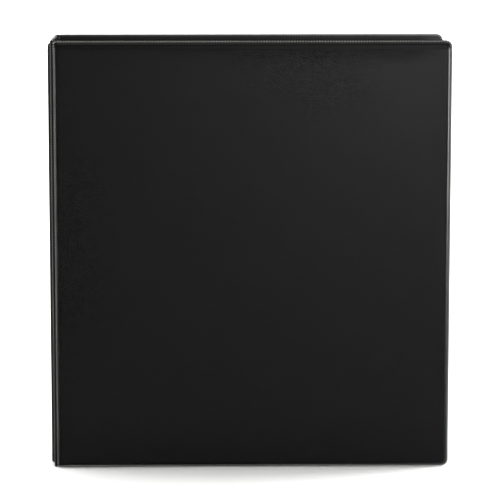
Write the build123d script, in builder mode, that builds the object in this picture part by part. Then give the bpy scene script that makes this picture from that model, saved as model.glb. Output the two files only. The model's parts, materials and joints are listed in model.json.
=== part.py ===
"""Two-inch view ring binder: vinyl-covered boards, welded hinges and a three-ring D mechanism.

X runs from the spine to the fore-edge, Y from the front cover to the back cover, Z up along the spine.
The origin is under the middle of the closed binder as it stands on its lower edge. Millimetres.
"""

import os
from math import cos, radians, sin, tan
from types import SimpleNamespace

from build123d import *

# Cover sizes
cover_height = 297.0
cover_width = 276.5  # spine's outer face to fore-edge
closed_depth = 76.0  # front overlay to rivet heads
board_thickness = 2.0
vinyl_thickness = 0.35  # outer vinyl and liner
overlay_thickness = 0.2
edge_weld = 2.2  # flat weld along a free edge
hinge_weld = 1.4  # flat weld beside a hinge
hinge_radius = 1.4  # fold of the bare vinyl, and how far it reaches from the hinge line
cover_corner = 4.6
hinge_corner = 1.0
board_corner = 3.0
board_edge_round = 0.45
overlay_open_edge = 6.0  # how far the overlays' open edge stays below the top

# Pockets inside the covers
pocket_thickness = 0.35
pocket_margin = 1.2
pocket_low = 132.0  # height at the fore-edge
pocket_high = 176.0  # height at the spine side
pocket_hinge_gap = 14.0
pocket_housing_gap = 6.0
pocket_corner = 6.0

# Ring housing
housing_end_gap = 7.0  # from the cover's top and bottom
housing_width = 35.0
housing_wall = 0.8
housing_arch = 2.0  # the crown's fall from its middle to its sides
housing_shoulder = 2.0
housing_curl = 1.2  # outer radius of the curled lower edge, and the gap inside the curl
housing_lip = 3.3  # height of the lip that the blades rest on

# Carrier blades
blade_thickness = 1.2
blade_end_gap = 6.0  # from the housing's ends
blade_side_gap = 0.2
blade_lip_gap = 0.3
blade_middle_gap = 0.7
blade_notch_gap = 1.0
blade_crown_gap = 0.64  # under the crown with the rings open
blade_dip = 5.0  # degrees below flat with the rings closed
blade_swing = 16.0  # degrees that each blade tips to open the rings

# D rings
ring_spacing = 107.95
ring_names = ("bottom", "middle", "top")
ring_cover_gap = 7.8  # from the closed rings' top centre line to the front cover
ring_spine_gap = 3.3  # from the open rings to the spine
wire_radius = 2.0
wire_inset = 5.5  # wire's centre line in from the housing's side
wire_slot_gap = 0.7
post_bend = 7.0
arc_lean = 20.0  # degrees that the curved side leans out
arc_lean_start = 14.0
arc_lean_bend = 30.0
arc_tip_straight = 1.7  # straight wire between the curve and the tip
tip_reach = 8.0  # from the post's centre line to where the halves meet
tip_gap = 0.2
tip_pin_radius = 1.0
tip_pin_length = 1.5
tip_socket_gap = 0.3
stem_radius = 1.5
stem_gap = 0.05
stem_head_radius = 2.1
stem_head = 0.5

# Triggers
trigger_inset = 2.0  # pivot in from the housing's end
trigger_above_blades = 0.75  # its pivot above the blades' outer edges
trigger_width = 18.0
trigger_neck = 12.0
trigger_neck_height = 5.6
trigger_hub_radius = 2.3
trigger_wall = 1.6
trigger_bend_height = 7.0
trigger_bend_reach = 0.2
trigger_rise = 13.6
trigger_reach = 1.6
trigger_bend = 8.0
trigger_corner = 3.0
finger_width = 5.0
finger_thickness = 1.1
lower_finger_gap = 0.45  # below the closed blades
lower_finger_overlap = 3.5  # under the blades' ends
upper_finger_rise = 1.35
upper_finger_overlap = 1.6
ear_gap = 0.4
ear_wall = 1.4  # round the pin
crown_notch_gap = 0.8
pin_radius = 1.0
pin_gap = 0.05
pin_head_radius = 1.6
pin_head = 0.6

# Rivets
rivet_inset = 17.5  # from the housing's ends
rivet_radius = 2.5
rivet_gap = 0.1
rivet_head_radius = 5.5
rivet_head = 0.9
rivet_collar_radius = 3.4
rivet_collar_gap = 0.2
rivet_peen_radius = 3.7
rivet_peen = 0.7

# Worked out from those above. In the mechanism u is X from the housing's middle, v the height above the back
# liner and w is Z from the middle
middle_height = cover_height / 2
panel_thickness = board_thickness + 2 * vinyl_thickness + overlay_thickness
hinge_x = -cover_width / 2 + panel_thickness - vinyl_thickness
spine_inner_x = -cover_width / 2 + panel_thickness
front_inner_y = -closed_depth / 2 + panel_thickness
back_inner_y = closed_depth / 2 - rivet_head - panel_thickness
front_hinge_y = front_inner_y - vinyl_thickness
back_hinge_y = back_inner_y + vinyl_thickness
cover_panel_width = cover_width / 2 - (hinge_x + hinge_radius)
cover_panel_x = cover_width / 2 - cover_panel_width / 2
spine_panel_width = back_hinge_y - front_hinge_y - 2 * hinge_radius
spine_middle_y = (front_hinge_y + back_hinge_y) / 2
housing_length = cover_height - 2 * housing_end_gap
rivet_pitch = housing_length - 2 * rivet_inset
blade_length = housing_length - 2 * blade_end_gap
blade_pivot_u = housing_width / 2 - housing_wall - blade_side_gap - blade_thickness / 2
blade_pivot_v = housing_lip + blade_lip_gap + blade_thickness / 2
blade_width = blade_pivot_u - blade_middle_gap / 2
blade_rise = radians(blade_swing - blade_dip)
blade_open_v = blade_pivot_v + blade_width * sin(blade_rise) + blade_thickness / 2 * cos(blade_rise)
blade_closed_v = blade_pivot_v - blade_width * sin(radians(blade_dip)) - blade_thickness / 2
housing_height = blade_open_v + blade_crown_gap + housing_wall
wire_u = housing_width / 2 - wire_inset
wire_foot_fall = (blade_pivot_u - wire_u) * tan(radians(blade_dip))
wire_foot_v = blade_pivot_v - wire_foot_fall + blade_thickness / 2 / cos(radians(blade_dip))
tip_u = wire_u - tip_reach
ring_top = back_inner_y - front_inner_y - ring_cover_gap
arc_lean_run = (ring_top - arc_lean_start) * tan(radians(arc_lean))
arc_top_run = wire_u + arc_lean_run + tip_u - tip_gap
arc_bend = (arc_top_run - arc_tip_straight) / tan(radians(90 + arc_lean) / 2)
arc_middle_u = tip_u - tip_gap - arc_tip_straight + blade_pivot_u
arc_middle_v = ring_top - arc_bend - blade_pivot_v
swung_middle_u = arc_middle_u * cos(radians(blade_swing)) - arc_middle_v * sin(radians(blade_swing))
arc_swing = blade_pivot_u - swung_middle_u + arc_bend + wire_radius  # the open rings' reach
housing_x = spine_inner_x + ring_spine_gap + arc_swing
trigger_pivot_v = blade_pivot_v + trigger_above_blades
trigger_pivot_w = housing_length / 2 - trigger_inset
finger_start = blade_end_gap - trigger_inset  # from the pivot to the blades' ends
crown_notch = trigger_inset + finger_start + upper_finger_overlap + crown_notch_gap
ear_length = trigger_inset + pin_radius + ear_wall
ear_u = trigger_neck / 2 + ear_gap + housing_wall / 2


def save(part, name):
    part.label = name
    export_step(part, f"parts/{name}.step")
    print(name, round(part.volume, 1))


# Panels: a board between its outer vinyl and its liner, with a clear overlay on the outside


def make_panel(name, plane, width, hinges, rivets=()):
    """The plane lies on the liner's inner face and looks outwards; hinges are its folding sides, -1 or 1."""
    welds = {side: hinge_weld if side in hinges else edge_weld for side in (-1, 1)}
    return SimpleNamespace(
        name=name,
        plane=plane,
        width=width,
        hinges=hinges,
        rivets=rivets,
        board_width=width - welds[-1] - welds[1] - 2 * vinyl_thickness,
        board_height=cover_height - 2 * edge_weld - 2 * vinyl_thickness,
        board_shift=(welds[-1] - welds[1]) / 2,
    )


def weld_outline(panel):
    """The panel's full outline, with its free corners rounded more than those beside a hinge."""
    with BuildSketch(mode=Mode.PRIVATE) as outline:
        Rectangle(panel.width, cover_height)
        for side, group in ((-1, 0), (1, -1)):
            corners = outline.vertices().group_by(Axis.X)[group]
            fillet(corners, hinge_corner if side in panel.hinges else cover_corner)
    return outline.sketch


def board_outline(panel, grow):
    """The board's outline, grown by the layers that wrap its edges."""
    with BuildSketch(mode=Mode.PRIVATE) as outline:
        with Locations((panel.board_shift, 0)):
            RectangleRounded(panel.board_width + 2 * grow, panel.board_height + 2 * grow, board_corner + grow)
    return outline.sketch


def board_block(panel):
    with BuildPart() as block:
        with BuildSketch(panel.plane.offset(vinyl_thickness)):
            add(board_outline(panel, 0))
        extrude(amount=board_thickness)
        outermost = block.faces().sort_by(Axis(panel.plane.origin, panel.plane.z_dir))[-1]
        fillet(outermost.edges(), board_edge_round)
    return block.part


def wrapped_block(panel, layers):
    """Board, weld and all filled solid, out to the given thickness of layers over them."""
    with BuildPart() as block:
        with BuildSketch(panel.plane.offset(vinyl_thickness)):
            add(weld_outline(panel))
        extrude(amount=layers)
        with BuildSketch(panel.plane.offset(vinyl_thickness)):
            add(board_outline(panel, layers))
        extrude(amount=board_thickness + layers)
        outermost = block.faces().sort_by(Axis(panel.plane.origin, panel.plane.z_dir))[-1]
        fillet(outermost.edges(), board_edge_round + layers)
    return block.part


def cut_rivet_holes(panel):
    for place in panel.rivets:
        with Locations(panel.plane * Location((*place, 0))):
            Cylinder(rivet_radius + rivet_gap, 4 * panel_thickness, mode=Mode.SUBTRACT)


def build_panel(panel):
    with BuildPart() as liner:
        with BuildSketch(panel.plane):
            add(weld_outline(panel))
        extrude(amount=vinyl_thickness)
        cut_rivet_holes(panel)
    save(liner.part, f"{panel.name}_liner")

    solid_board = board_block(panel)
    with BuildPart() as board:
        add(solid_board)
        cut_rivet_holes(panel)
    save(board.part, f"{panel.name}_board")

    solid_vinyl = wrapped_block(panel, vinyl_thickness)
    with BuildPart() as vinyl:
        add(solid_vinyl)
        add(solid_board, mode=Mode.SUBTRACT)
        cut_rivet_holes(panel)
    save(vinyl.part, f"{panel.name}_outer_vinyl")

    with BuildPart() as overlay:
        add(wrapped_block(panel, vinyl_thickness + overlay_thickness))
        add(solid_vinyl, mode=Mode.SUBTRACT)
        with BuildSketch(Plane.XY.offset(cover_height - overlay_open_edge)):
            Rectangle(2 * cover_width, 2 * closed_depth)
        extrude(amount=overlay_open_edge, mode=Mode.SUBTRACT)
        cut_rivet_holes(panel)
    save(overlay.part, f"{panel.name}_clear_overlay")


def build_pocket(panel, free_side, width):
    """A vinyl sheet on the liner, welded along the fore-edge and below, its open top sloping."""
    outer = free_side * (panel.width / 2 - pocket_margin)
    inner = outer - free_side * width
    bottom = pocket_margin - middle_height
    with BuildPart() as pocket:
        with BuildSketch(panel.plane) as outline:
            with BuildLine():
                Polyline(
                    (outer, bottom),
                    (outer, bottom + pocket_low),
                    (inner, bottom + pocket_high),
                    (inner, bottom),
                    close=True,
                )
            make_face()
            fillet(outline.vertices(), pocket_corner)
        extrude(amount=-pocket_thickness)
    save(pocket.part, f"{panel.name}_inner_pocket")


def build_hinge(name, hinge_y, inward):
    """Bare vinyl folded through a quarter turn; inward is the Y direction from the cover to the other one."""
    centre = (hinge_x + hinge_radius, hinge_y + inward * hinge_radius)
    with BuildPart() as strip:
        with BuildSketch(Plane.XY.offset(hinge_corner)):
            with BuildLine():
                start = 180 if inward > 0 else 90
                inside = CenterArc(centre, hinge_radius - vinyl_thickness, start, 90)
                outside = CenterArc(centre, hinge_radius + vinyl_thickness, start, 90)
                Line(inside @ 0, outside @ 0)
                Line(inside @ 1, outside @ 1)
            make_face()
        extrude(amount=cover_height - 2 * hinge_corner)
    save(strip.part, name)


# Ring mechanism


def section_plane(w):
    """Across the housing: local x is u and local y is v."""
    return Plane((housing_x, back_inner_y, middle_height + w), x_dir=(1, 0, 0), z_dir=(0, 0, -1))


def level_plane(v):
    """Level with the back cover: local x is u and local y is w."""
    return Plane((housing_x, back_inner_y - v, middle_height), x_dir=(1, 0, 0), z_dir=(0, -1, 0))


def lengthwise_plane(v, end):
    """Along the housing, through a trigger's pivot: local x points outwards and local y is v."""
    origin = (housing_x, back_inner_y - v, middle_height + end * trigger_pivot_w)
    return Plane(origin, x_dir=(0, 0, end), z_dir=(end, 0, 0))


def blade_plane(side):
    """Across a blade at its outer edge: local x runs along the blade to its inner edge, local y upwards."""
    origin = (housing_x + side * blade_pivot_u, back_inner_y - blade_pivot_v, middle_height)
    dip = radians(blade_dip)
    return Plane(origin, x_dir=(-side * cos(dip), sin(dip), 0), z_dir=(0, 0, side))


def foot_plane(side, w):
    """On a blade's upper face, where a wire stands, looking up."""
    origin = (housing_x + side * wire_u, back_inner_y - wire_foot_v, middle_height + w)
    return Plane(origin, x_dir=(0, 0, 1), z_dir=blade_plane(side).y_dir)


def build_housing():
    half = housing_width / 2
    lip_u = half - housing_wall - housing_curl - housing_wall / 2
    slot_inner = wire_u - wire_radius - wire_slot_gap
    notch_w = housing_length / 2 - crown_notch / 2
    ear_top = housing_height - housing_wall / 2 - housing_arch * (ear_u / half) ** 2
    ear_bottom = trigger_pivot_v - pin_radius - ear_wall
    with BuildPart() as housing:
        with BuildSketch(section_plane(0)) as section:
            with BuildLine():
                sides = Polyline(
                    (-half, housing_height - housing_arch),
                    (-half, 0),
                    (half, 0),
                    (half, housing_height - housing_arch),
                )
                ThreePointArc(sides @ 1, (0, housing_height), sides @ 0)
            make_face()
            fillet(section.vertices().group_by(Axis.Y)[0], housing_curl)
            fillet(section.vertices().group_by(Axis.Y)[-1], housing_shoulder)
            offset(amount=-housing_wall, mode=Mode.SUBTRACT)
            Rectangle(2 * lip_u, 2 * housing_wall, mode=Mode.SUBTRACT)
            with Locations((-lip_u, 0), (lip_u, 0)):
                Rectangle(housing_wall, housing_lip, align=(Align.CENTER, Align.MIN))
        extrude(amount=housing_length / 2, both=True)

        # openings in the crown for the wires, the rivets and the triggers
        with BuildSketch(level_plane(blade_pivot_v + blade_thickness)):
            with GridLocations(blade_pivot_u + slot_inner, ring_spacing, 2, 3):
                slot_width = 2 * (wire_radius + wire_slot_gap)
                RectangleRounded(blade_pivot_u - slot_inner, slot_width, wire_radius / 2)
            with GridLocations(1, rivet_pitch, 1, 2):
                Circle(rivet_radius + rivet_gap)
            with GridLocations(1, 2 * notch_w, 1, 2):
                Rectangle(trigger_neck + 2 * ear_gap, crown_notch)
        extrude(amount=housing_height, mode=Mode.SUBTRACT)

        # ears bent down beside each notch, with the holes for the pivot pin
        for end in (-1, 1):
            with BuildSketch(section_plane(end * housing_length / 2)):
                with Locations((-ear_u, ear_bottom), (ear_u, ear_bottom)):
                    Rectangle(housing_wall, ear_top - ear_bottom, align=(Align.CENTER, Align.MIN))
            extrude(amount=end * ear_length)
            with BuildSketch(lengthwise_plane(trigger_pivot_v, end)):
                Circle(pin_radius)
            extrude(amount=ear_u + housing_wall, both=True, mode=Mode.SUBTRACT)
    save(housing.part, "ring_housing")


def build_blade(side, name):
    with BuildPart() as blade:
        with BuildSketch(blade_plane(side)):
            Rectangle(blade_width, blade_thickness, align=(Align.MIN, Align.CENTER))
            Circle(blade_thickness / 2)
        extrude(amount=blade_length / 2, both=True)
        with BuildSketch(level_plane(0)):
            with GridLocations(1, rivet_pitch, 1, 2):
                Circle(rivet_collar_radius + blade_notch_gap)
        extrude(amount=housing_height, mode=Mode.SUBTRACT)
        with Locations(*[foot_plane(side, n * ring_spacing) for n in (-1, 0, 1)]):
            Cylinder(stem_radius + stem_gap, 4 * blade_thickness, mode=Mode.SUBTRACT)
    save(blade.part, name)


def add_stem(foot):
    """The wire's thinner end goes through the blade and is peened over below it."""
    with BuildSketch(foot) as stem:
        Circle(stem_radius)
    extrude(stem.sketch, amount=-blade_thickness)
    with BuildSketch(foot.offset(-blade_thickness)) as head:
        Circle(stem_head_radius)
    extrude(head.sketch, amount=-stem_head)


def build_post(name, w):
    """The straight half of a ring: up from the fore-edge blade and over to the socket in its tip."""
    foot = foot_plane(1, w)
    with BuildPart() as post:
        with BuildLine(section_plane(w)) as path:
            FilletPolyline(
                (wire_u, wire_foot_v - wire_radius),
                (wire_u, ring_top),
                (tip_u, ring_top),
                radius=post_bend,
            )
        with BuildSketch(Plane(path.line @ 0, z_dir=path.line % 0)):
            Circle(wire_radius)
        sweep()
        split(bisect_by=foot, keep=Keep.TOP)
        add_stem(foot)
        with BuildSketch(Plane(path.line @ 1, z_dir=path.line % 1)):
            Circle(tip_pin_radius + tip_socket_gap)
        extrude(amount=-tip_pin_length - tip_socket_gap, mode=Mode.SUBTRACT)
    save(post.part, name)


def build_arc(name, w):
    """The curved half of a ring: out and over from the spine-side blade, with a pin in its tip."""
    foot = foot_plane(-1, w)
    with BuildPart() as arc:
        with BuildLine(section_plane(w)) as path:
            FilletPolyline(
                (-wire_u, wire_foot_v - wire_radius),
                (-wire_u, arc_lean_start),
                (-wire_u - arc_lean_run, ring_top),
                (tip_u - tip_gap, ring_top),
                radius=(arc_lean_bend, arc_bend),
            )
        with BuildSketch(Plane(path.line @ 0, z_dir=path.line % 0)):
            Circle(wire_radius)
        sweep()
        split(bisect_by=foot, keep=Keep.TOP)
        add_stem(foot)
        with BuildSketch(Plane(path.line @ 1, z_dir=path.line % 1)):
            Circle(tip_pin_radius)
        extrude(amount=tip_pin_length)
        fillet(arc.faces().sort_by(Axis.X)[-1].edges(), tip_pin_radius / 3)
    save(arc.part, name)


def build_trigger(end, name):
    """A bent lever with two fingers, one below and one above the ends of the blades."""
    pivot = lengthwise_plane(trigger_pivot_v, end)
    facing = Plane(pivot.origin, x_dir=(1, 0, 0), z_dir=(0, 0, -1))
    drop = trigger_pivot_v - blade_closed_v + lower_finger_gap + finger_thickness / 2
    with BuildPart() as trigger:
        with BuildSketch(pivot):
            with BuildLine():
                FilletPolyline(
                    (0, 0),
                    (trigger_bend_reach, trigger_bend_height),
                    (trigger_reach, trigger_rise),
                    radius=trigger_bend,
                )
            trace(line_width=trigger_wall)
        extrude(amount=trigger_width / 2, both=True)
        with BuildSketch(facing):
            Rectangle(trigger_neck, 2 * trigger_rise)
            with Locations((0, trigger_neck_height)):
                RectangleRounded(
                    trigger_width,
                    trigger_rise - trigger_neck_height + trigger_wall,
                    trigger_corner,
                    align=(Align.CENTER, Align.MIN),
                )
        extrude(amount=2 * trigger_reach + trigger_rise, both=True, mode=Mode.INTERSECT)
        with BuildSketch(pivot):
            Circle(trigger_hub_radius)
        extrude(amount=trigger_neck / 2, both=True)
        with BuildSketch(pivot):
            with BuildLine():
                FilletPolyline(
                    (0, 0),
                    (0, -drop),
                    (-finger_start - lower_finger_overlap, -drop),
                    radius=finger_thickness,
                )
                Line((0, upper_finger_rise), (-finger_start - upper_finger_overlap, upper_finger_rise))
            trace(line_width=finger_thickness)
        extrude(amount=finger_width / 2, both=True)
        with BuildSketch(pivot):
            Circle(pin_radius + pin_gap)
        extrude(amount=trigger_width, both=True, mode=Mode.SUBTRACT)
    save(trigger.part, name)


def build_trigger_pin(end, name):
    with BuildPart() as pin:
        with BuildSketch(lengthwise_plane(trigger_pivot_v, end)) as shank:
            Circle(pin_radius)
        extrude(amount=ear_u + housing_wall / 2, both=True)
        for face in pin.faces().filter_by(Axis.X):
            with BuildSketch(Plane(face.center(), z_dir=face.normal_at())) as head:
                Circle(pin_head_radius)
            extrude(amount=pin_head)
    save(pin.part, name)


def build_rivet(w, name):
    """Domed outside the back cover, stepped up to the crown, and peened over it."""
    crown_under = housing_height - housing_wall
    collar_fall = housing_arch * (rivet_collar_radius / (housing_width / 2)) ** 2
    collar_top = crown_under - collar_fall - rivet_collar_gap
    peen_top = housing_height + rivet_peen
    with BuildPart() as rivet:
        with BuildSketch(section_plane(w)):
            with BuildLine():
                outline = Polyline(
                    (rivet_head_radius, -panel_thickness),
                    (rivet_radius, -panel_thickness),
                    (rivet_radius, 0),
                    (rivet_collar_radius, 0),
                    (rivet_collar_radius, collar_top),
                    (rivet_radius, collar_top),
                    (rivet_radius, housing_height),
                    (rivet_peen_radius, housing_height),
                    (rivet_peen_radius - rivet_peen, peen_top),
                    (0, peen_top),
                    (0, -panel_thickness - rivet_head),
                )
                TangentArc(outline @ 1, outline @ 0, tangent=(1, 0))
            make_face()
        axis_origin = (housing_x, back_inner_y, middle_height + w)
        revolve(axis=Axis(axis_origin, (0, -1, 0)))
    save(rivet.part, name)


front = make_panel(
    "front",
    Plane((cover_panel_x, front_inner_y, middle_height), x_dir=(1, 0, 0), z_dir=(0, -1, 0)),
    cover_panel_width,
    hinges=(-1,),
)
spine = make_panel(
    "spine",
    Plane((spine_inner_x, spine_middle_y, middle_height), x_dir=(0, -1, 0), z_dir=(-1, 0, 0)),
    spine_panel_width,
    hinges=(-1, 1),
)
rivet_x = cover_panel_x - housing_x
back = make_panel(
    "back",
    Plane((cover_panel_x, back_inner_y, middle_height), x_dir=(-1, 0, 0), z_dir=(0, 1, 0)),
    cover_panel_width,
    hinges=(1,),
    rivets=((rivet_x, -rivet_pitch / 2), (rivet_x, rivet_pitch / 2)),
)

os.makedirs("parts", exist_ok=True)
for panel in (front, spine, back):
    build_panel(panel)
build_pocket(front, 1, cover_panel_width - pocket_margin - pocket_hinge_gap)
pocket_from_housing = housing_x + housing_width / 2 + pocket_housing_gap
build_pocket(back, -1, cover_width / 2 - pocket_margin - pocket_from_housing)
build_hinge("front_hinge_vinyl", front_hinge_y, 1)
build_hinge("back_hinge_vinyl", back_hinge_y, -1)
build_housing()
build_blade(-1, "spine_side_blade")
build_blade(1, "fore_edge_blade")
for n, ring_name in enumerate(ring_names):
    build_arc(f"{ring_name}_ring_arc", (n - 1) * ring_spacing)
    build_post(f"{ring_name}_ring_post", (n - 1) * ring_spacing)
for end, end_name in ((-1, "bottom"), (1, "top")):
    build_trigger(end, f"{end_name}_trigger")
    build_trigger_pin(end, f"{end_name}_trigger_pin")
    build_rivet(end * rivet_pitch / 2, f"{end_name}_rivet")
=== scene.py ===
import json
from math import pi, radians

import bmesh
import bpy
import numpy as np
from mathutils import Matrix, Vector, noise


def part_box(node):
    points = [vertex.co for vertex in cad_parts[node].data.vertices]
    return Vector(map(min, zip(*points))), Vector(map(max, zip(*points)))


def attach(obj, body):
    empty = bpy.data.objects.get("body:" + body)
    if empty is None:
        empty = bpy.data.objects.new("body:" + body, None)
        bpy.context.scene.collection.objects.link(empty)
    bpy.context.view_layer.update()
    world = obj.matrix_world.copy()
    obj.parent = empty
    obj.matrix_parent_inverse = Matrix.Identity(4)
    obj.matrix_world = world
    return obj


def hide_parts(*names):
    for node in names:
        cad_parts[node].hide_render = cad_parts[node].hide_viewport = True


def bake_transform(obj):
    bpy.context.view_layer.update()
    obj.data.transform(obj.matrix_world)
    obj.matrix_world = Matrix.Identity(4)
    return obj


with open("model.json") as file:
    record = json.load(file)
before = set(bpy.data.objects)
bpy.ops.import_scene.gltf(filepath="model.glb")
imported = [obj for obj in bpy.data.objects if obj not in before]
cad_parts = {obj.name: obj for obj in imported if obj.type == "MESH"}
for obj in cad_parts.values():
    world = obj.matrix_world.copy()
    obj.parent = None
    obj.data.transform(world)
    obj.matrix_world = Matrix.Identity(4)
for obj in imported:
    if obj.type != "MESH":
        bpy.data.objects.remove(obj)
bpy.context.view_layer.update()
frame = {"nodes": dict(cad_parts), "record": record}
print("frame loaded")


# Small helpers

def linearColour(hexValue):
    channels = [int(hexValue[n : n + 2], 16) / 255 for n in (1, 3, 5)]
    return tuple(c / 12.92 if c <= 0.04045 else ((c + 0.055) / 1.055) ** 2.4 for c in channels) + (1.0,)


def addNode(tree, kind, sockets=None, **settings):
    node = tree.nodes.new(kind)
    for key, value in settings.items():
        setattr(node, key, value)
    for key, value in (sockets or {}).items():
        if isinstance(value, bpy.types.NodeSocket):
            tree.links.new(value, node.inputs[key])
        else:
            node.inputs[key].default_value = value
    return node


def newMaterial(name):
    material = bpy.data.materials.new(name)
    material.use_nodes = True
    material.node_tree.nodes.clear()
    return material, material.node_tree


def finishMaterial(tree, shaderSocket):
    addNode(tree, "ShaderNodeOutputMaterial", {"Surface": shaderSocket})


def ramp(tree, factor, low, high, start=0.0, end=1.0):
    # a colour between two hex values, as the factor goes from start to end
    node = addNode(tree, "ShaderNodeValToRGB", {"Fac": factor})
    for element, position, colour in zip(node.color_ramp.elements, (start, end), (low, high)):
        element.position, element.color = position, linearColour(colour)
    return node.outputs["Color"]


def spread(tree, factor, low, high):
    # a number between two values, as the factor goes from 0 to 1
    sockets = {"Value": factor, "To Min": low, "To Max": high}
    return addNode(tree, "ShaderNodeMapRange", sockets).outputs["Result"]


def perMetre(millimetres):
    return 1000.0 / millimetres


# Materials

# Calendered PVC sheet, roller-embossed with a pebble grain: deep black with a soft sheen that breaks up into specks
coverVinyl = {
    "colour": "#030303",
    # the paler colour is painted sheen: specks of light painted into the grain
    "sheenSpeckColour": "#070707",
    "pebble": 1.25,  # mm across, about twice the real grain so that it shows
    "fineGrain": 0.45,  # mm
    "patch": 38.0,  # mm, the size of slightly shinier places
    "depth": 0.05,  # mm
    "roughness": (0.34, 0.40),
    "specular": 0.03,  # PVC's is nearer 0.5; lowered until the face stayed black over a bright floor
    "bump": 0.55,
}
# The same PVC with a finer matt grain, as used inside covers
linerVinyl = dict(coverVinyl, pebble=0.9, depth=0.025, roughness=(0.38, 0.46), specular=0.1, bump=0.4)
# PVC that a heated tool has pressed and remelted, so it is smoother and shinier than the sheet round it
weldVinyl = dict(coverVinyl, pebble=2.2, depth=0.01, roughness=(0.22, 0.30), specular=0.12, bump=0.2)
# Tops of the weld's ribs: a little of their pale grey is the whitening where the hot tool has drawn and scuffed them,
# most of it is a painted highlight standing in for the glints the ribs catch, made paler than real so that they show
ribHighlightVinyl = dict(weldVinyl, colour="#565654", sheenSpeckColour="#868682", specular=0.7)


def vinylMaterial(name, finish):
    material, tree = newMaterial(name)
    place = addNode(tree, "ShaderNodeTexCoord").outputs["Object"]
    pebbles = addNode(
        tree,
        "ShaderNodeTexVoronoi",
        {"Vector": place, "Scale": perMetre(finish["pebble"]), "Randomness": 0.9},
        feature="SMOOTH_F1",
    ).outputs["Distance"]
    fine = addNode(
        tree,
        "ShaderNodeTexNoise",
        {"Vector": place, "Scale": perMetre(finish["fineGrain"]), "Detail": 2.0},
    ).outputs["Fac"]
    patches = addNode(tree, "ShaderNodeTexNoise", {"Vector": place, "Scale": perMetre(finish["patch"]), "Detail": 3.0})
    grain = addNode(tree, "ShaderNodeMath", {0: pebbles, 1: fine}, operation="ADD").outputs[0]
    bump = addNode(
        tree,
        "ShaderNodeBump",
        {"Height": grain, "Strength": finish["bump"], "Distance": finish["depth"] / 1000},
    )
    # paler at the grain cells' middles inside the shinier patches: painted sheen, specks of light painted into the
    # colour
    sheenSpecks = addNode(tree, "ShaderNodeMath", {0: patches.outputs["Fac"], 1: pebbles}, operation="MULTIPLY")
    shader = addNode(
        tree,
        "ShaderNodeBsdfPrincipled",
        {
            "Base Color": ramp(tree, sheenSpecks.outputs[0], finish["sheenSpeckColour"], finish["colour"], 0.1, 0.5),
            "Roughness": spread(tree, patches.outputs["Fac"], *finish["roughness"]),
            "Specular IOR Level": finish["specular"],
            "IOR": 1.53,
            "Normal": bump.outputs["Normal"],
        },
    )
    finishMaterial(tree, shader.outputs["BSDF"])
    return material


# Clear calendered PVC film, lightly matt: it veils the black below it a little and carries a broad soft gloss
clearFilm = {
    "haze": "#080808",
    "fleck": "#1c1c1c",  # painted sheen: paler specks at the grain cells' middles, standing in for the glints of the grain under the film
    "alpha": 0.5,
    "roughness": (0.33, 0.38),
    "specular": 0.06,
    "pebble": 1.4,  # mm, the grain of the vinyl below printed through the film
    "depth": 0.03,  # mm
    "bump": 0.5,
    "ripple": 46.0,  # mm between slack places
}


# The same film where the welding tool has drawn it down over the board's edge: smooth and bright
pressedFilm = dict(clearFilm, roughness=(0.27, 0.33), specular=0.5, depth=0.008)


def filmMaterial(name, finish):
    material, tree = newMaterial(name)
    place = addNode(tree, "ShaderNodeTexCoord").outputs["Object"]
    pebbles = addNode(
        tree,
        "ShaderNodeTexVoronoi",
        {"Vector": place, "Scale": perMetre(finish["pebble"])},
        feature="SMOOTH_F1",
    ).outputs["Distance"]
    slack = addNode(tree, "ShaderNodeTexNoise", {"Vector": place, "Scale": perMetre(finish["ripple"])})
    bump = addNode(
        tree,
        "ShaderNodeBump",
        {"Height": pebbles, "Strength": finish["bump"], "Distance": finish["depth"] / 1000},
    )
    shader = addNode(
        tree,
        "ShaderNodeBsdfPrincipled",
        {
            # the pale flecks are painted sheen
            "Base Color": ramp(tree, pebbles, finish["fleck"], finish["haze"], 0.1, 0.5),
            "Roughness": spread(tree, slack.outputs["Fac"], *finish["roughness"]),
            "Alpha": finish["alpha"],
            "Specular IOR Level": finish["specular"],
            "IOR": 1.53,
            "Normal": bump.outputs["Normal"],
        },
    )
    finishMaterial(tree, shader.outputs["BSDF"])
    return material


# Bright nickel plate over drawn or pressed steel: warm silver, with faint lengthwise drawing lines and handling haze
nickelPlate = {
    "colour": "#d6d1c6",
    "dull": "#bcb6aa",
    "roughness": (0.14, 0.27),
    "line": 0.35,  # mm across a drawing line
    "run": 14.0,  # mm along it
    "haze": 11.0,  # mm across a hazy place
    "depth": 0.01,  # mm
    "bump": 0.25,
}
# Zinc plate over rolled strip: cooler, duller and slightly mottled
zincPlate = dict(nickelPlate, colour="#a9aeb2", dull="#868c91", roughness=(0.32, 0.48), line=0.5, run=9.0)


def platedMaterial(name, finish):
    material, tree = newMaterial(name)
    place = addNode(tree, "ShaderNodeTexCoord").outputs["Object"]
    stretch = (perMetre(finish["line"]), perMetre(finish["line"]), perMetre(finish["run"]))
    along = addNode(tree, "ShaderNodeMapping", {"Vector": place, "Scale": stretch})
    lines = addNode(tree, "ShaderNodeTexNoise", {"Vector": along.outputs["Vector"], "Scale": 1.0, "Detail": 3.0})
    haze = addNode(tree, "ShaderNodeTexNoise", {"Vector": place, "Scale": perMetre(finish["haze"]), "Detail": 4.0})
    bump = addNode(
        tree,
        "ShaderNodeBump",
        {"Height": lines.outputs["Fac"], "Strength": finish["bump"], "Distance": finish["depth"] / 1000},
    )
    shader = addNode(
        tree,
        "ShaderNodeBsdfPrincipled",
        {
            "Base Color": ramp(tree, haze.outputs["Fac"], finish["dull"], finish["colour"], 0.35, 0.6),
            "Metallic": 1.0,
            "Roughness": spread(tree, haze.outputs["Fac"], finish["roughness"][1], finish["roughness"][0]),
            "Normal": bump.outputs["Normal"],
        },
    )
    finishMaterial(tree, shader.outputs["BSDF"])
    return material


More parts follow.
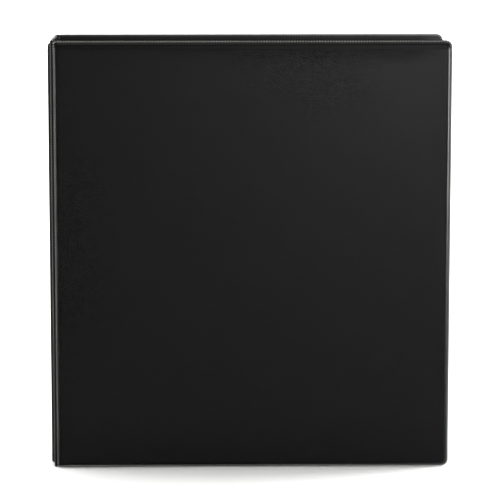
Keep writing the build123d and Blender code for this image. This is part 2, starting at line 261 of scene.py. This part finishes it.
# Grey-brown binder's board, pressed from recycled fibres: dry, matt and flecked
chipboard = {
    "colour": "#8c7a62",
    "fleck": "#5d4f3f",
    "fibre": 1.6,  # mm
    "depth": 0.06,  # mm
    "bump": 0.6,
    "roughness": 0.88,
}


def boardMaterial(name, finish):
    material, tree = newMaterial(name)
    place = addNode(tree, "ShaderNodeTexCoord").outputs["Object"]
    fibres = addNode(
        tree, "ShaderNodeTexNoise", {"Vector": place, "Scale": perMetre(finish["fibre"]), "Detail": 6.0}
    ).outputs["Fac"]
    bump = addNode(
        tree,
        "ShaderNodeBump",
        {"Height": fibres, "Strength": finish["bump"], "Distance": finish["depth"] / 1000},
    )
    shader = addNode(
        tree,
        "ShaderNodeBsdfPrincipled",
        {
            "Base Color": ramp(tree, fibres, finish["fleck"], finish["colour"], 0.36, 0.58),
            "Roughness": finish["roughness"],
            "Normal": bump.outputs["Normal"],
        },
    )
    finishMaterial(tree, shader.outputs["BSDF"])
    return material


embossedVinyl = vinylMaterial("embossedBlackVinyl", coverVinyl)
insideVinyl = vinylMaterial("mattBlackVinyl", linerVinyl)
pressedVinyl = vinylMaterial("weldedBlackVinyl", weldVinyl)
highlightedRibVinyl = vinylMaterial("ribBlackVinylPaintedHighlight", ribHighlightVinyl)
overlayFilm = filmMaterial("clearVinylFilm", clearFilm)
drawnFilm = filmMaterial("drawnVinylFilm", pressedFilm)
nickel = platedMaterial("nickelPlatedSteel", nickelPlate)
zinc = platedMaterial("zincPlatedSteel", zincPlate)
board = boardMaterial("bindersBoard", chipboard)
print("materials made")


# Panels. Each has its own flat frame in millimetres: across, up, and out from the liner's inner face

panels = {
    "front": {"body": "front_cover", "across": (1, 0, 0), "outward": (0, -1, 0), "hinges": (-1,)},
    "spine": {"body": "spine", "across": (0, -1, 0), "outward": (-1, 0, 0), "hinges": (-1, 1)},
    "back": {"body": "back_cover", "across": (-1, 0, 0), "outward": (0, 1, 0), "hinges": (1,)},
}
sheetSizes = {
    "liner": 0.35,
    "vinyl": 0.35,
    "film": 0.2,
    "boardTop": 2.35,  # board's outer face above the liner's inner face
    "flange": 2.2,  # flat weld along a free edge
    "hingeFlange": 1.4,  # flat weld beside a fold
    "coverCorner": 4.6,
    "hingeCorner": 1.0,
    "boardCorner": 3.0,
    "slopeFoot": 0.8,  # the sheets come down from the board's edge in a slope that ends this far out on the weld
    "slopeTop": (0.35, 0.45),  # and starts this far in over the board, and this far below its face
    "slopeRound": 0.9,  # from there in to the flat face
    "filmGap": 0.04,
    "filmEdge": 6.0,  # open edge of the film below the cover's top
    "filmLift": 0.4,  # how far that edge stands off the vinyl
    "filmHeld": 6.0,  # still flat this far in from the sides
    "filmRise": 16.0,  # and lifted fully over this much more
    "cuts": (46, 48, 8),  # across, up, and round each corner
}
# how far in from the edge, and how far above the liner's inner face
linerProfile = ((0.0, 0.35), (0.0, 0.16), (0.14, 0.07), (1.05, 0.07), (1.3, 0.03), (1.75, 0.0), (4.0, 0.0))


def panelFrame(name):
    # sizes and the matrix from the panel's flat millimetres to the row's metres
    panel = panels[name]
    low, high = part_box(f"{name}_liner")
    across, outward = Vector(panel["across"]), Vector(panel["outward"])
    middle, half = (low + high) / 2, (high - low) / 2
    origin = middle - outward * abs(outward.dot(half))
    matrix = Matrix((across, outward.cross(across), outward)).transposed().to_4x4()
    matrix = Matrix.Translation(origin) @ matrix @ Matrix.Scale(0.001, 4)
    width, height = 2000 * abs(across.dot(half)), 2000 * half.z
    return matrix, width, height


def ringOf(left, right, low, high, radiusLeft, radiusRight, cuts):
    # points round a rectangle with rounded corners, from the middle of its low left corner
    cutsAcross, cutsUp, cutsRound = cuts
    corners = (
        (left + radiusLeft, low + radiusLeft, radiusLeft, 180),
        (right - radiusRight, low + radiusRight, radiusRight, 270),
        (right - radiusRight, high - radiusRight, radiusRight, 0),
        (left + radiusLeft, high - radiusLeft, radiusLeft, 90),
    )
    arcs = []
    for x, y, radius, start in corners:
        angles = radians(start) + np.linspace(0, pi / 2, cutsRound + 1)
        arcs.append(np.column_stack((x + radius * np.cos(angles), y + radius * np.sin(angles))))
    points = []
    for n, arc in enumerate(arcs):
        steps = np.linspace(0, 1, (cutsUp if n % 2 else cutsAcross) + 1)[1:-1, None]
        points += [arc, arc[-1] * (1 - steps) + arcs[(n + 1) % 4][0] * steps]
    return np.roll(np.vstack(points), -(cutsRound // 2), axis=0)


def patchInside(ring, cuts):
    # a grid of points filled in between the four sides of a ring of points
    across, up = cuts[0] + cuts[2], cuts[1] + cuts[2]
    closed = np.vstack((ring, ring[:1]))
    low, right = closed[: across + 1], closed[across : across + up + 1]
    high = closed[across + up : 2 * across + up + 1][::-1]
    left = closed[2 * across + up :][::-1]
    s = np.linspace(0, 1, across + 1)[None, :, None]
    t = np.linspace(0, 1, up + 1)[:, None, None]
    flat = (1 - t) * low[None] + t * high[None] + (1 - s) * left[:, None] + s * right[:, None]
    corners = (1 - s) * (1 - t) * low[0] + s * (1 - t) * low[-1] + (1 - s) * t * high[0] + s * t * high[-1]
    return flat - corners


def closedSheet(name, rings, cuts, shape=None):
    # a closed skin over rings of points: a filled patch, the walls between the rings, and a filled patch
    count = len(rings[0])
    points = [np.vstack(rings)]
    faces = []
    for n in range(len(rings) - 1):
        for i in range(count):
            j = (i + 1) % count
            faces.append((n * count + i, n * count + j, (n + 1) * count + j, (n + 1) * count + i))
    across, up = cuts[0] + cuts[2], cuts[1] + cuts[2]
    for ringNumber in (0, len(rings) - 1):
        patch = patchInside(rings[ringNumber], cuts)
        base = sum(len(p) for p in points)
        points.append(patch[1:-1, 1:-1].reshape(-1, 3))
        index = np.empty((up + 1, across + 1), int)
        index[1:-1, 1:-1] = base + np.arange((up - 1) * (across - 1)).reshape(up - 1, across - 1)
        edge = ringNumber * count + np.arange(count + 1)
        edge[-1] = ringNumber * count
        index[0], index[:, -1] = edge[: across + 1], edge[across : across + up + 1]
        index[-1] = edge[across + up : 2 * across + up + 1][::-1]
        index[:, 0] = edge[2 * across + up :][::-1]
        for r in range(up):
            for c in range(across):
                quad = (index[r, c], index[r, c + 1], index[r + 1, c + 1], index[r + 1, c])
                faces.append(quad if ringNumber else quad[::-1])
    points = np.vstack(points)
    if shape is not None:
        points = shape(points)
    mesh = bpy.data.meshes.new(name)
    mesh.from_pydata(points.tolist(), [], [tuple(int(v) for v in f) for f in faces])
    for face in mesh.polygons[: count * (len(rings) - 1)]:
        face.material_index = 1  # the walls between the rings, as against the two patches
    return mesh


def smoothMesh(mesh, angle=38):
    # shared points merged, faces outwards, and sharp only where faces meet at more than the angle
    work = bmesh.new()
    work.from_mesh(mesh)
    bmesh.ops.remove_doubles(work, verts=work.verts, dist=1e-6)
    bmesh.ops.recalc_face_normals(work, faces=work.faces)
    for edge in work.edges:
        edge.smooth = len(edge.link_faces) == 2 and edge.calc_face_angle(0) < radians(angle)
    for face in work.faces:
        face.smooth = True
    work.to_mesh(mesh)
    work.free()


def addPiece(name, mesh, materials, body=None):
    mesh.materials.clear()
    for material in materials:
        mesh.materials.append(material)
    piece = bpy.data.objects.new(name, mesh)
    bpy.context.scene.collection.objects.link(piece)
    if body:
        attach(piece, body)
    return piece


def boardRing(panel, width, height, grow, level):
    # round the board's edge, grown by the layers over it, at a level above the liner's inner face
    sizes = sheetSizes
    sides = [sizes["hingeFlange"] if side in panel["hinges"] else sizes["flange"] for side in (-1, 1)]
    grow = grow - sizes["vinyl"]
    ring = ringOf(
        -width / 2 + sides[0] - grow,
        width / 2 - sides[1] + grow,
        -height / 2 + sizes["flange"] - grow,
        height / 2 - sizes["flange"] + grow,
        sizes["boardCorner"] + sizes["vinyl"] + grow,
        sizes["boardCorner"] + sizes["vinyl"] + grow,
        sizes["cuts"],
    )
    return np.column_stack((ring, np.full(len(ring), level)))


def flangeRing(panel, width, height, inset, level):
    sizes = sheetSizes
    radii = [sizes["hingeCorner"] if side in panel["hinges"] else sizes["coverCorner"] for side in (-1, 1)]
    ring = ringOf(
        -width / 2 + inset,
        width / 2 - inset,
        -height / 2 + inset,
        height / 2 - inset,
        max(radii[0] - inset, 0.2),
        max(radii[1] - inset, 0.2),
        sizes["cuts"],
    )
    return np.column_stack((ring, np.full(len(ring), level)))


def drapedRings(panel, width, height, lift, edge):
    # from the edge of the weld over the board, at a lift from the vinyl's outer face
    sizes = sheetSizes
    weld = sizes["liner"] + sizes["vinyl"] + lift
    top = sizes["boardTop"] + sizes["vinyl"] + lift
    wall = sizes["vinyl"] + lift * 0.6
    inward, below = sizes["slopeTop"]
    foot, shoulder, flat = wall + sizes["slopeFoot"], wall - inward, wall - inward - sizes["slopeRound"]
    rings = [flangeRing(panel, width, height, edge, weld)]
    steps = [(foot + 0.12, weld), (foot - 0.04, weld + 0.03)]
    for share in (0.1, 0.4, 0.7, 1.0):
        steps.append((foot + (shoulder - foot) * share, weld + (top - below - weld) * share))
    for angle in np.linspace(0, pi / 2, 6)[1:]:
        inShare = 0.35 * np.sin(angle) + 0.65 * (1 - np.cos(angle))
        steps.append((shoulder + (flat - shoulder) * inShare, top - below * (1 - np.sin(angle))))
    rings += [boardRing(panel, width, height, grow, level) for grow, level in steps]
    rings.append(boardRing(panel, width, height, flat - 1.2, top))
    return rings


def buildOuterVinyl(name):
    panel, sizes = panels[name], sheetSizes
    matrix, width, height = panelFrame(name)
    under = drapedRings(panel, width, height, -sizes["vinyl"], 0.0)
    over = drapedRings(panel, width, height, 0.0, 0.1)
    over.insert(0, flangeRing(panel, width, height, 0.0, sizes["liner"] + sizes["vinyl"] - 0.1))
    mesh = closedSheet(f"{name}_cover_skin", under[::-1] + over, sizes["cuts"])
    mesh.transform(matrix)
    smoothMesh(mesh)
    piece = addPiece(f"{name}_cover_skin", mesh, (embossedVinyl, pressedVinyl), panel["body"])
    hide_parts(f"{name}_outer_vinyl")


def buildOverlay(name):
    # cut straight across below the top, with the cut closed, so the film keeps its own thickness at the opening
    panel, sizes = panels[name], sheetSizes
    matrix, width, height = panelFrame(name)
    under = drapedRings(panel, width, height, sizes["filmGap"], 0.12)
    over = drapedRings(panel, width, height, sizes["film"], 0.12)
    mesh = closedSheet(f"{name}_overlay_film", under[::-1] + over, sizes["cuts"])
    work = bmesh.new()
    work.from_mesh(mesh)
    everything = work.verts[:] + work.edges[:] + work.faces[:]
    cut = bmesh.ops.bisect_plane(
        work,
        geom=everything,
        dist=1e-5,
        plane_co=(0, height / 2 - sizes["filmEdge"], 0),
        plane_no=(0, 1, 0),
        clear_outer=True,
    )
    edges = [item for item in cut["geom_cut"] if isinstance(item, bmesh.types.BMEdge)]
    bmesh.ops.edgeloop_fill(work, edges=edges)
    bmesh.ops.triangulate(work, faces=[f for f in work.faces if len(f.verts) > 8])
    for vert in work.verts:
        if abs(vert.co.y - height / 2 + sizes["filmEdge"]) < 0.01:
            inside = (width / 2 - sizes["filmHeld"] - abs(vert.co.x)) / sizes["filmRise"]
            inside = min(max(inside, 0), 1)
            vert.co.z += sizes["filmLift"] * inside * inside * (3 - 2 * inside)
    work.to_mesh(mesh)
    work.free()
    mesh.transform(matrix)
    smoothMesh(mesh)
    piece = addPiece(f"{name}_overlay_film", mesh, (overlayFilm, drawnFilm), panel["body"])
    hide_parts(f"{name}_clear_overlay")


def buildLiner(name):
    # pressed in a little along the weld, and flat over the board
    panel = panels[name]
    matrix, width, height = panelFrame(name)
    rings = [flangeRing(panel, width, height, inset, level) for inset, level in linerProfile]
    mesh = closedSheet(f"{name}_lining", rings, sheetSizes["cuts"])
    mesh.transform(matrix)
    smoothMesh(mesh)
    piece = addPiece(f"{name}_lining", mesh, (insideVinyl, pressedVinyl), panel["body"])
    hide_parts(f"{name}_liner")


for name in panels:
    buildOuterVinyl(name)
    buildOverlay(name)
    buildLiner(name)
print("panels covered")


# Pockets inside the covers: vinyl sheets welded on three sides, a little slack at their sloping mouths

pocketSizes = {
    "front": {"outer": 1},
    "back": {"outer": -1},
    "lowSide": 132.0,
    "highSide": 176.0,
    "corner": 6.0,
    "slack": 0.8,
    "profile": ((2.5, -0.02), (0.0, -0.02), (0.0, -0.24), (0.1, -0.33), (0.3, -0.35), (2.5, -0.35)),
    "cuts": (28, 24, 6),
}


def pocketPlan(name):
    # the pocket's sides in the panel's flat frame, and the points' place on its sloping height
    sizes, side = pocketSizes, pocketSizes[name]["outer"]
    matrix, width, height = panelFrame(name)
    flat = matrix.inverted()
    corners = [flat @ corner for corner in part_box(f"{name}_inner_pocket")]
    left, right = sorted(corner.x for corner in corners)
    low = min(corner.y for corner in corners)

    def slope(points):
        outerSide = right if side > 0 else left
        across = np.abs(points[:, 0] - outerSide) / (right - left)
        rise = (sizes["lowSide"] + (sizes["highSide"] - sizes["lowSide"]) * across) / sizes["highSide"]
        points = points.copy()
        share = (points[:, 1] - low) / sizes["highSide"]
        points[:, 1] = low + (points[:, 1] - low) * rise
        bulge = np.sin(pi * np.clip((points[:, 0] - left) / (right - left), 0, 1)) * np.clip(share, 0, 1) ** 2
        points[:, 2] -= sizes["slack"] * bulge
        return points

    return matrix, left, right, low, slope


def buildPocket(name):
    sizes = pocketSizes
    matrix, left, right, low, slope = pocketPlan(name)
    high = low + sizes["highSide"]
    rings = []
    for inset, level in sizes["profile"]:
        corner = sizes["corner"] - inset
        ring = ringOf(left + inset, right - inset, low + inset, high - inset, corner, corner, sizes["cuts"])
        rings.append(np.column_stack((ring, np.full(len(ring), level))))
    mesh = closedSheet(f"{name}_pocket_sheet", rings, sizes["cuts"], slope)
    mesh.transform(matrix)
    smoothMesh(mesh)
    piece = addPiece(f"{name}_pocket_sheet", mesh, (insideVinyl, insideVinyl), panels[name]["body"])
    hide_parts(f"{name}_inner_pocket")


for name in ("front", "back"):
    buildPocket(name)
print("pockets made")


# Weld bars: the row of short ribs that the welding tool presses along every seam

weldSizes = {
    "pitch": 1.9,  # a little wider than the real 1.5, so that the ribs show
    "length": 1.2,  # across the seam
    "width": 0.9,  # along the seam
    "height": 0.5,
    "inset": 0.85,  # of the row's middle from the edge
    "hingeInset": 0.52,
    "pocketInset": 1.0,
    "sink": 0.04,  # of the row's middle below the film's face
    "linerLevel": 0.12,
    "pocketLevel": -0.28,
    "crease": 0.85,
    "mouthDrop": 12.0,  # pocket rows stop this far round the mouth's ends
    "mouthSide": 6.0,
}


def weldTree():
    tree = bpy.data.node_groups.new("weldBars", "GeometryNodeTree")
    sockets = (
        ("Path", "NodeSocketGeometry"),
        ("Pitch", "NodeSocketFloat"),
        ("Bar", "NodeSocketVector"),
        ("Material", "NodeSocketMaterial"),
    )
    for name, kind in sockets:
        tree.interface.new_socket(name, in_out="INPUT", socket_type=kind)
    tree.interface.new_socket("Bars", in_out="OUTPUT", socket_type="NodeSocketGeometry")
    start = addNode(tree, "NodeGroupInput").outputs
    path = addNode(tree, "GeometryNodeMeshToCurve", {"Mesh": start["Path"]})
    spaced = addNode(
        tree,
        "GeometryNodeResampleCurve",
        {"Curve": path.outputs["Curve"], "Length": start["Pitch"]},
        mode="LENGTH",
    )
    tangent = addNode(tree, "GeometryNodeInputTangent")
    turn = addNode(
        tree, "FunctionNodeAlignRotationToVector", {"Vector": tangent.outputs["Tangent"]}, axis="X", pivot_axis="Z"
    )
    block = addNode(tree, "GeometryNodeMeshCube", {"Size": start["Bar"]})
    soft = addNode(
        tree,
        "GeometryNodeSubdivisionSurface",
        {"Mesh": block.outputs["Mesh"], "Level": 1, "Edge Crease": weldSizes["crease"]},
    )
    placed = addNode(
        tree,
        "GeometryNodeInstanceOnPoints",
        {
            "Points": spaced.outputs["Curve"],
            "Instance": soft.outputs["Mesh"],
            "Rotation": turn.outputs["Rotation"],
        },
    )
    real = addNode(tree, "GeometryNodeRealizeInstances", {"Geometry": placed.outputs["Instances"]})
    painted = addNode(
        tree, "GeometryNodeSetMaterial", {"Geometry": real.outputs["Geometry"], "Material": start["Material"]}
    )
    addNode(tree, "NodeGroupOutput", {"Bars": painted.outputs["Geometry"]})
    return tree


weldBars = weldTree()


def buildWeldBars(name, paths, matrix, body):
    # paths are lists of points in flat millimetres, each closed or open
    points, edges = [], []
    for path, closed in paths:
        base, count = len(points), len(path)
        points += [tuple(p) for p in path]
        edges += [(base + i, base + (i + 1) % count) for i in range(count if closed else count - 1)]
    wire = bpy.data.meshes.new(f"{name}_path")
    wire.from_pydata(points, edges, [])
    carrier = bpy.data.objects.new(f"{name}_path", wire)
    bpy.context.scene.collection.objects.link(carrier)
    modifier = carrier.modifiers.new("weldBars", "NODES")
    modifier.node_group = weldBars
    values = {
        "Pitch": weldSizes["pitch"],
        "Bar": (weldSizes["width"], weldSizes["length"], weldSizes["height"]),
        # the ribs' pale colour is a painted highlight
        "Material": highlightedRibVinyl,
    }
    for item in weldBars.interface.items_tree:
        if item.item_type == "SOCKET" and item.in_out == "INPUT" and item.name in values:
            modifier[item.identifier] = values[item.name]
    evaluated = carrier.evaluated_get(bpy.context.evaluated_depsgraph_get())
    mesh = bpy.data.meshes.new_from_object(evaluated)
    bpy.data.objects.remove(carrier)
    mesh.name = name
    mesh.transform(matrix)
    for face in mesh.polygons:
        face.use_smooth = True
    addPiece(name, mesh, (highlightedRibVinyl,), body)


def weldPath(panel, width, height, level):
    # the seam's line, nearer to the edge beside a fold
    sizes = sheetSizes
    insets = [weldSizes["hingeInset"] if side in panel["hinges"] else weldSizes["inset"] for side in (-1, 1)]
    radii = [sizes["hingeCorner"] if side in panel["hinges"] else sizes["coverCorner"] for side in (-1, 1)]
    ring = ringOf(
        -width / 2 + insets[0],
        width / 2 - insets[1],
        -height / 2 + weldSizes["inset"],
        height / 2 - weldSizes["inset"],
        max(radii[0] - insets[0], 0.3),
        max(radii[1] - insets[1], 0.3),
        (1, 1, 8),
    )
    return np.column_stack((ring, np.full(len(ring), level)))


for name, panel in panels.items():
    matrix, width, height = panelFrame(name)
    outerLevel = sheetSizes["liner"] + sheetSizes["vinyl"] + sheetSizes["film"] - weldSizes["sink"]
    paths = [(weldPath(panel, width, height, level), True) for level in (outerLevel, weldSizes["linerLevel"])]
    buildWeldBars(f"{name}_weld_bars", paths, matrix, panel["body"])

for name in ("front", "back"):
    matrix, left, right, low, slope = pocketPlan(name)
    inset = weldSizes["pocketInset"]
    corner = pocketSizes["corner"] - inset
    high = low + pocketSizes["highSide"]
    ring = ringOf(left + inset, right - inset, low + inset, high - inset, corner, corner, (8, 8, 8))
    ring = slope(np.column_stack((ring, np.full(len(ring), weldSizes["pocketLevel"]))))
    topEnd = np.flatnonzero(ring[:, 1] > low + pocketSizes["lowSide"] - weldSizes["mouthDrop"])
    side = weldSizes["mouthSide"]
    mouth = [i for i in topEnd if left + side < ring[i, 0] < right - side]
    first, last = max(mouth) + 1, min(mouth)
    path = np.vstack((ring[first:], ring[:last]))
    buildWeldBars(f"{name}_pocket_weld_bars", [(path, False)], matrix, panels[name]["body"])
print("weld bars pressed")


# Hinges: bare vinyl folded through a quarter turn between two welds

hingeSizes = {
    "radius": 1.4,
    "thickness": 0.7,
    "clear": 0.01,  # taken off each face
    "past": 0.85,  # beyond the welds at each end
    "crease": 0.035,
    "creaseRun": 0.16,  # creases for each mm of height
    "arcCuts": 12,
    "longCuts": 74,
}


def buildHinge(name, cover, inward):
    # the fold's centre line runs up inside the corner; inward is the Y direction from the cover to the other one
    low, high = (Vector(corner) * 1000 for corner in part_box(f"{name}_hinge_vinyl"))
    sizes = hingeSizes
    reach = sizes["radius"]
    outerReach = reach + sizes["thickness"] / 2
    centreX = low.x + outerReach
    centreY = low.y + outerReach if inward > 0 else high.y - outerReach
    start = pi if inward > 0 else pi / 2
    angles = start + np.linspace(0, pi / 2, sizes["arcCuts"] + 1)
    heights = np.linspace(low.z - sizes["past"], high.z + sizes["past"], sizes["longCuts"] + 1)
    halfWall = sizes["thickness"] / 2 - sizes["clear"]
    points = []
    for z in heights:
        for side in (1, -1):
            for n, angle in enumerate(angles if side > 0 else angles[::-1]):
                share = (angle - start) / (pi / 2)
                wrinkle = sizes["crease"] * np.sin(pi * share) ** 2
                wrinkle *= noise.noise(Vector((z * sizes["creaseRun"], share * 1.3, 4.0 + inward)))
                radius = reach + side * halfWall - abs(wrinkle) * side
                points.append((centreX + radius * np.cos(angle), centreY + radius * np.sin(angle), z))
    ringSize = 2 * len(angles)
    faces = []
    for layer in range(len(heights) - 1):
        for i in range(ringSize):
            j = (i + 1) % ringSize
            a, b = layer * ringSize, (layer + 1) * ringSize
            faces.append((a + i, a + j, b + j, b + i))
    last = (len(heights) - 1) * ringSize
    for i in range(len(angles) - 1):
        j = ringSize - 1 - i
        faces.append((i + 1, i, j, j - 1))
        faces.append((last + i, last + i + 1, last + j - 1, last + j))
    mesh = bpy.data.meshes.new(f"{name}_fold")
    mesh.from_pydata([tuple(c / 1000 for c in p) for p in points], [], faces)
    smoothMesh(mesh)
    piece = addPiece(f"{name}_fold", mesh, (embossedVinyl,))
    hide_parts(f"{name}_hinge_vinyl")
    if cover == "front_cover":
        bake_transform(piece)
    else:
        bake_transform(piece)


buildHinge("front", "front_cover", 1)
buildHinge("back", "back_cover", -1)
print("hinges folded")


# Ring mechanism and boards: the shapes stay, with their own finishes

finishes = {"nickel_steel": nickel, "zinc_steel": zinc, "chipboard": board}
for row in frame["record"]["subparts"]:
    material = finishes.get(row["material_slot"])
    if material:
        node = frame["nodes"][row["node"]]
        node.data.materials.clear()
        node.data.materials.append(material)
print("mechanism and boards finished")


# Studio

studio = {
    "floorColour": "#f4f4f3",
    "skyStrength": 0.12,
    "cameraPlace": (-0.03, -1.738, 0.405),
    "cameraAim": (0.0, -0.038, 0.1530),
    "lens": 179.7,
    "lights": (  # name, place, aim, sides in metres, watts, spread in degrees
        ("keyLight", (0.44, -2.3, 0.42), (0.1, 0.0, 0.28), (0.35, 0.35), 40, 180),
        ("rightStrip", (1.5, 0.42, 0.22), (0.13, -0.03, 0.25), (0.5, 0.4), 50, 180),
        ("leftStrip", (-1.5, 0.42, 0.22), (-0.13, -0.03, 0.2), (0.5, 0.4), 13, 180),
        ("ceilingLight", (0.0, 4.6, 2.6), (0.0, 4.6, 0.0), (7.0, 10.0), 640, 120),
    ),
    "floorRings": (0.5, 1.5, 4.0, 9.0, 14.0),
    "floorDrop": 0.0002,
    "floorSides": 48,
}


def buildFloor():
    # a wide flat disc just under the binder
    work = bmesh.new()
    drop, segments = -studio["floorDrop"], studio["floorSides"]
    turns = [2 * pi * n / segments for n in range(segments)]
    centre = work.verts.new((0, 0, drop))
    last = None
    for radius in studio["floorRings"]:
        ring = [work.verts.new((radius * np.cos(turn), radius * np.sin(turn), drop)) for turn in turns]
        for n in range(segments):
            m = (n + 1) % segments
            if last:
                work.faces.new((last[n], ring[n], ring[m], last[m]))
            else:
                work.faces.new((centre, ring[n], ring[m]))
        last = ring
    mesh = bpy.data.meshes.new("studioFloor")
    work.to_mesh(mesh)
    work.free()
    material, tree = newMaterial("paintedFloor")  # matt white emulsion
    place = addNode(tree, "ShaderNodeTexCoord").outputs["Object"]
    mottle = addNode(tree, "ShaderNodeTexNoise", {"Vector": place, "Scale": 3.0}).outputs["Fac"]
    shader = addNode(
        tree,
        "ShaderNodeBsdfPrincipled",
        {"Base Color": ramp(tree, mottle, "#f1f1f0", studio["floorColour"]), "Roughness": 0.9},
    )
    finishMaterial(tree, shader.outputs["BSDF"])
    mesh.materials.append(material)
    floor = bpy.data.objects.new("studioFloor", mesh)
    bpy.context.scene.collection.objects.link(floor)


def addLight(name, place, aim, size, power, fan):
    light = bpy.data.lights.new(name, "AREA")
    light.shape, light.size, light.size_y, light.energy = "RECTANGLE", size[0], size[1], power
    light.spread = radians(fan)
    lamp = bpy.data.objects.new(name, light)
    lamp.location = place
    lamp.rotation_euler = (Vector(aim) - Vector(place)).to_track_quat("-Z", "Y").to_euler()
    bpy.context.scene.collection.objects.link(lamp)


buildFloor()
for light in studio["lights"]:
    addLight(*light)

world = bpy.data.worlds.new("studioSky")
bpy.context.scene.world = world
world.use_nodes = True
sky = world.node_tree
sky.nodes.clear()
seen = addNode(sky, "ShaderNodeLightPath").outputs["Is Camera Ray"]
lit = addNode(sky, "ShaderNodeBackground", {"Color": linearColour("#ffffff"), "Strength": studio["skyStrength"]})
shown = addNode(sky, "ShaderNodeBackground", {"Color": linearColour("#fbfbfb"), "Strength": 1.0})
mixed = addNode(
    sky, "ShaderNodeMixShader", {0: seen, 1: lit.outputs["Background"], 2: shown.outputs["Background"]}
)
addNode(sky, "ShaderNodeOutputWorld", {"Surface": mixed.outputs["Shader"]})

bpy.context.scene.view_settings.view_transform = "Standard"
camera = bpy.data.objects.new("camera", bpy.data.cameras.new("camera"))
camera.data.lens = studio["lens"]
camera.data.clip_end = 60
camera.location = studio["cameraPlace"]
aimLine = Vector(studio["cameraAim"]) - Vector(studio["cameraPlace"])
camera.rotation_euler = aimLine.to_track_quat("-Z", "Y").to_euler()
bpy.context.scene.collection.objects.link(camera)
bpy.context.scene.camera = camera
print("studio lit")
